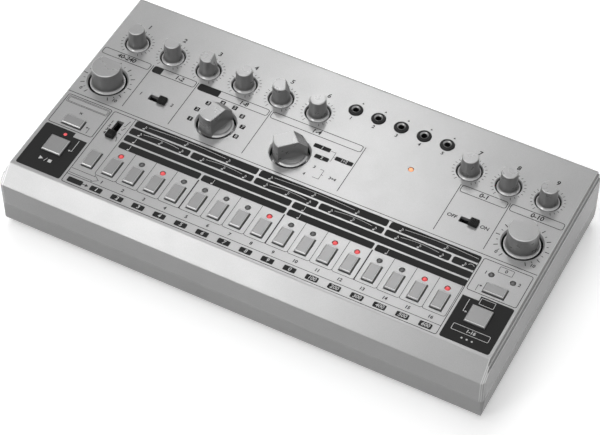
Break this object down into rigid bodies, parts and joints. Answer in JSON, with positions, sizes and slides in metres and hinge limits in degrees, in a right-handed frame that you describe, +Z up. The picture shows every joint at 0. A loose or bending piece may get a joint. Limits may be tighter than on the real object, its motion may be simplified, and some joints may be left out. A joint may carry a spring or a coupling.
{
  "type": "drum machine",
  "caption": "Low silver desktop drum machine with level knobs, two pointer selectors, slide switches and a row of step keys with red lamps.",
  "frame": {"origin": "centre of the overall box, at the surface that the feet stand on", "axes": "+X to the right along the keys, +Y to the rear sockets, +Z up"},
  "size_m": [0.305, 0.1632, 0.0563],
  "materials": {
    "top_case": "silver satin paint on moulded plastic",
    "bottom_case": "silver satin paint on moulded plastic",
    "knob_silver": "silver satin paint with a bright worn edge",
    "key_plastic": "light grey satin",
    "slider_black": "black satin",
    "black_plastic": "black",
    "black_nuts": "black lacquer",
    "socket_metal": "bright plated",
    "switch_metal": "plain",
    "pot_metal": "plain",
    "board": "green solder mask",
    "step_lens": "red lens",
    "panel_lens": "orange and red lens",
    "feet_rubber": "matt",
    "screw_steel": "blackened",
    "ribbon": "grey flat cable"
  },
  "bodies": {
    "case": {"top_shell": "top_case", "bottom_shell": "bottom_case", "main_board": "board", "rear_board": "board", "pot_bodies": "pot_metal", "rotary_switch_bodies": "pot_metal", "slide_switch_bodies": "switch_metal", "tact_switches": "black_plastic", "top_jacks": "black_plastic", "jack_nuts": "black_nuts", "midi_sockets": "black_plastic", "usb_socket": "switch_metal", "dc_socket": "black_plastic", "mix_out_socket": "black_plastic", "voice_out_sockets": "black_plastic", "power_switch_body": "black_plastic", "step_leds": "step_lens", "panel_leds": "panel_lens", "rubber_feet": "feet_rubber", "case_screws": "screw_steel", "board_screws": "screw_steel", "ribbon_cable": "ribbon"},
    "knob_accent": {"knob_accent": "knob_silver"},
    "knob_bass_drum": {"knob_bass_drum": "knob_silver"},
    "knob_snare_drum": {"knob_snare_drum": "knob_silver"},
    "knob_toms": {"knob_toms": "knob_silver"},
    "knob_cymbal_clap": {"knob_cymbal_clap": "knob_silver"},
    "knob_hi_hat": {"knob_hi_hat": "knob_silver"},
    "knob_distortion": {"knob_distortion": "knob_silver"},
    "knob_tone": {"knob_tone": "knob_silver"},
    "knob_level": {"knob_level": "knob_silver"},
    "tempo_knob": {"tempo_knob": "knob_silver"},
    "volume_knob": {"volume_knob": "knob_silver"},
    "instrument_selector": {"instrument_selector": "knob_silver"},
    "mode_selector": {"mode_selector": "knob_silver"},
    "select_slider": {"select_slider": "slider_black"},
    "distortion_slider": {"distortion_slider": "slider_black"},
    "scale_slider": {"scale_slider": "slider_black"},
    "step_button_01": {"step_button_01": "key_plastic"},
    "step_button_02": {"step_button_02": "key_plastic"},
    "step_button_03": {"step_button_03": "key_plastic"},
    "step_button_04": {"step_button_04": "key_plastic"},
    "step_button_05": {"step_button_05": "key_plastic"},
    "step_button_06": {"step_button_06": "key_plastic"},
    "step_button_07": {"step_button_07": "key_plastic"},
    "step_button_08": {"step_button_08": "key_plastic"},
    "step_button_09": {"step_button_09": "key_plastic"},
    "step_button_10": {"step_button_10": "key_plastic"},
    "step_button_11": {"step_button_11": "key_plastic"},
    "step_button_12": {"step_button_12": "key_plastic"},
    "step_button_13": {"step_button_13": "key_plastic"},
    "step_button_14": {"step_button_14": "key_plastic"},
    "step_button_15": {"step_button_15": "key_plastic"},
    "step_button_16": {"step_button_16": "key_plastic"},
    "function_button": {"function_button": "key_plastic"},
    "clear_button": {"clear_button": "key_plastic"},
    "start_button": {"start_button": "key_plastic"},
    "pattern_button": {"pattern_button": "key_plastic"},
    "tap_button": {"tap_button": "key_plastic"},
    "power_rocker": {"power_rocker": "slider_black"}
  },
  "joints": [
    {"name": "knob_accent_turn", "type": "hinge", "parent": "case", "child": "knob_accent", "pos_m": [-0.1328, 0.0434, 0.044], "axis": [0, 0, 1], "range_deg": [-231, 69]},
    {"name": "knob_bass_drum_turn", "type": "hinge", "parent": "case", "child": "knob_bass_drum", "pos_m": [-0.1086, 0.0434, 0.044], "axis": [0, 0, 1], "range_deg": [-148, 152]},
    {"name": "knob_snare_drum_turn", "type": "hinge", "parent": "case", "child": "knob_snare_drum", "pos_m": [-0.0844, 0.0434, 0.044], "axis": [0, 0, 1], "range_deg": [-68, 232]},
    {"name": "knob_toms_turn", "type": "hinge", "parent": "case", "child": "knob_toms", "pos_m": [-0.0602, 0.0434, 0.044], "axis": [0, 0, 1], "range_deg": [-215, 85]},
    {"name": "knob_cymbal_clap_turn", "type": "hinge", "parent": "case", "child": "knob_cymbal_clap", "pos_m": [-0.036, 0.0434, 0.044], "axis": [0, 0, 1], "range_deg": [-85, 215]},
    {"name": "knob_hi_hat_turn", "type": "hinge", "parent": "case", "child": "knob_hi_hat", "pos_m": [-0.0118, 0.0434, 0.044], "axis": [0, 0, 1], "range_deg": [-177, 123]},
    {"name": "knob_distortion_turn", "type": "hinge", "parent": "case", "child": "knob_distortion", "pos_m": [0.085, 0.0434, 0.044], "axis": [0, 0, 1], "range_deg": [-179, 121]},
    {"name": "knob_tone_turn", "type": "hinge", "parent": "case", "child": "knob_tone", "pos_m": [0.1092, 0.0434, 0.044], "axis": [0, 0, 1], "range_deg": [-154, 146]},
    {"name": "knob_level_turn", "type": "hinge", "parent": "case", "child": "knob_level", "pos_m": [0.1334, 0.0434, 0.044], "axis": [0, 0, 1], "range_deg": [-122, 178]},
    {"name": "tempo_knob_turn", "type": "hinge", "parent": "case", "child": "tempo_knob", "pos_m": [-0.133, 0.0088, 0.044], "axis": [0, 0, 1], "range_deg": [-149, 151]},
    {"name": "volume_knob_turn", "type": "hinge", "parent": "case", "child": "volume_knob", "pos_m": [0.133, 0.0088, 0.044], "axis": [0, 0, 1], "range_deg": [-177, 123]},
    {"name": "instrument_selector_turn", "type": "hinge", "parent": "case", "child": "instrument_selector", "pos_m": [-0.0602, 0.0088, 0.044], "axis": [0, 0, 1], "range_deg": [-90, 120]},
    {"name": "mode_selector_turn", "type": "hinge", "parent": "case", "child": "mode_selector", "pos_m": [-0.0118, 0.0088, 0.044], "axis": [0, 0, 1], "range_deg": [-90, 0]},
    {"name": "select_slider_slide", "type": "slide", "parent": "case", "child": "select_slider", "axis": [1, 0, 0], "range_m": [-0.006, 0]},
    {"name": "distortion_slider_slide", "type": "slide", "parent": "case", "child": "distortion_slider", "axis": [1, 0, 0], "range_m": [-0.006, 0]},
    {"name": "scale_slider_slide", "type": "slide", "parent": "case", "child": "scale_slider", "axis": [0, 1, 0], "range_m": [0, 0.009]},
    {"name": "step_button_01_press", "type": "slide", "parent": "case", "child": "step_button_01", "axis": [0, 0, 1], "range_m": [-0.0006, 0], "stiffness_N_per_m": 600, "springref_m": 0.0005},
    {"name": "step_button_02_press", "type": "slide", "parent": "case", "child": "step_button_02", "axis": [0, 0, 1], "range_m": [-0.0006, 0], "stiffness_N_per_m": 600, "springref_m": 0.0005},
    {"name": "step_button_03_press", "type": "slide", "parent": "case", "child": "step_button_03", "axis": [0, 0, 1], "range_m": [-0.0006, 0], "stiffness_N_per_m": 600, "springref_m": 0.0005},
    {"name": "step_button_04_press", "type": "slide", "parent": "case", "child": "step_button_04", "axis": [0, 0, 1], "range_m": [-0.0006, 0], "stiffness_N_per_m": 600, "springref_m": 0.0005},
    {"name": "step_button_05_press", "type": "slide", "parent": "case", "child": "step_button_05", "axis": [0, 0, 1], "range_m": [-0.0006, 0], "stiffness_N_per_m": 600, "springref_m": 0.0005},
    {"name": "step_button_06_press", "type": "slide", "parent": "case", "child": "step_button_06", "axis": [0, 0, 1], "range_m": [-0.0006, 0], "stiffness_N_per_m": 600, "springref_m": 0.0005},
    {"name": "step_button_07_press", "type": "slide", "parent": "case", "child": "step_button_07", "axis": [0, 0, 1], "range_m": [-0.0006, 0], "stiffness_N_per_m": 600, "springref_m": 0.0005},
    {"name": "step_button_08_press", "type": "slide", "parent": "case", "child": "step_button_08", "axis": [0, 0, 1], "range_m": [-0.0006, 0], "stiffness_N_per_m": 600, "springref_m": 0.0005},
    {"name": "step_button_09_press", "type": "slide", "parent": "case", "child": "step_button_09", "axis": [0, 0, 1], "range_m": [-0.0006, 0], "stiffness_N_per_m": 600, "springref_m": 0.0005},
    {"name": "step_button_10_press", "type": "slide", "parent": "case", "child": "step_button_10", "axis": [0, 0, 1], "range_m": [-0.0006, 0], "stiffness_N_per_m": 600, "springref_m": 0.0005},
    {"name": "step_button_11_press", "type": "slide", "parent": "case", "child": "step_button_11", "axis": [0, 0, 1], "range_m": [-0.0006, 0], "stiffness_N_per_m": 600, "springref_m": 0.0005},
    {"name": "step_button_12_press", "type": "slide", "parent": "case", "child": "step_button_12", "axis": [0, 0, 1], "range_m": [-0.0006, 0], "stiffness_N_per_m": 600, "springref_m": 0.0005},
    {"name": "step_button_13_press", "type": "slide", "parent": "case", "child": "step_button_13", "axis": [0, 0, 1], "range_m": [-0.0006, 0], "stiffness_N_per_m": 600, "springref_m": 0.0005},
    {"name": "step_button_14_press", "type": "slide", "parent": "case", "child": "step_button_14", "axis": [0, 0, 1], "range_m": [-0.0006, 0], "stiffness_N_per_m": 600, "springref_m": 0.0005},
    {"name": "step_button_15_press", "type": "slide", "parent": "case", "child": "step_button_15", "axis": [0, 0, 1], "range_m": [-0.0006, 0], "stiffness_N_per_m": 600, "springref_m": 0.0005},
    {"name": "step_button_16_press", "type": "slide", "parent": "case", "child": "step_button_16", "axis": [0, 0, 1], "range_m": [-0.0006, 0], "stiffness_N_per_m": 600, "springref_m": 0.0005},
    {"name": "function_button_press", "type": "slide", "parent": "case", "child": "function_button", "axis": [0, 0, 1], "range_m": [-0.0006, 0], "stiffness_N_per_m": 600, "springref_m": 0.0005},
    {"name": "clear_button_press", "type": "slide", "parent": "case", "child": "clear_button", "axis": [0, 0, 1], "range_m": [-0.0006, 0], "stiffness_N_per_m": 600, "springref_m": 0.0005},
    {"name": "start_button_press", "type": "slide", "parent": "case", "child": "start_button", "axis": [0, 0, 1], "range_m": [-0.0006, 0], "stiffness_N_per_m": 600, "springref_m": 0.0005},
    {"name": "pattern_button_press", "type": "slide", "parent": "case", "child": "pattern_button", "axis": [0, 0, 1], "range_m": [-0.0006, 0], "stiffness_N_per_m": 600, "springref_m": 0.0005},
    {"name": "tap_button_press", "type": "slide", "parent": "case", "child": "tap_button", "axis": [0, 0, 1], "range_m": [-0.0006, 0], "stiffness_N_per_m": 600, "springref_m": 0.0005},
    {"name": "power_rocker_tilt", "type": "hinge", "parent": "case", "child": "power_rocker", "pos_m": [0.122, 0.075, 0.0279], "axis": [0, 0, 1], "range_deg": [-14, 0]}
  ]
}
